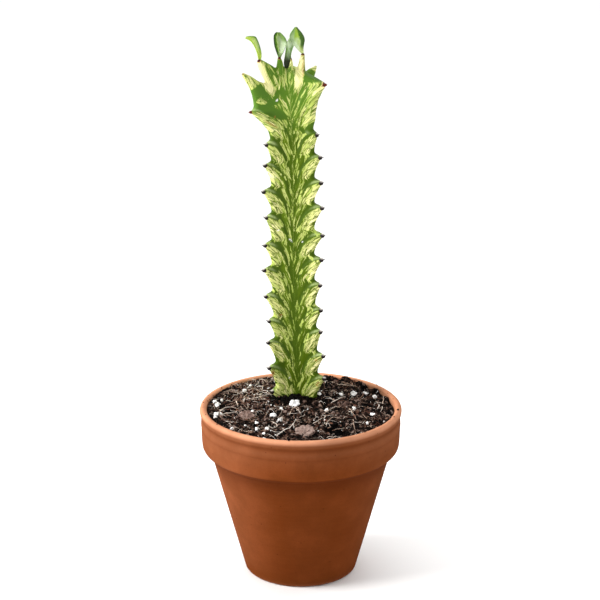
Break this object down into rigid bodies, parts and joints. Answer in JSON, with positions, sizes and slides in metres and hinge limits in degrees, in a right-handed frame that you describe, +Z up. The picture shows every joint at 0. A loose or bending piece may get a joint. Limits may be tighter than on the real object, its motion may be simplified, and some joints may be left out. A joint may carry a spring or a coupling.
{
  "type": "potted euphorbia lactea",
  "caption": "Upright ribbed, variegated succulent stem with toothed edges and small leaves at its crown, growing in gritty potting mix in a tapered terracotta pot with a deep collar.",
  "frame": {"origin": "centre of the pot's foot, on the surface that it stands on", "axes": "+Z up, along the pot's axis; -Y is the side that the groove between the two front ribs faces; +X to the right seen from there"},
  "size_m": [0.11, 0.11, 0.2978],
  "materials": {
    "terracotta": "matte",
    "potting_mix": "matte",
    "stem_skin": "satin",
    "leaf_skin": "satin",
    "perlite": "matte",
    "bark": "matte"
  },
  "bodies": {
    "root": {"pot": "terracotta", "soil": "potting_mix", "stem": "stem_skin", "leaf_left": "leaf_skin", "leaf_middle_left": "leaf_skin", "leaf_centre": "leaf_skin", "leaf_right": "leaf_skin", "perlite_01": "perlite", "perlite_02": "perlite", "perlite_03": "perlite", "perlite_04": "perlite", "perlite_05": "perlite", "perlite_06": "perlite", "perlite_07": "perlite", "perlite_08": "perlite", "perlite_09": "perlite", "perlite_10": "perlite", "perlite_11": "perlite", "perlite_12": "perlite", "perlite_13": "perlite", "perlite_14": "perlite", "bark_chip_1": "bark", "bark_chip_2": "bark", "bark_chip_3": "bark"}
  },
  "joints": []
}
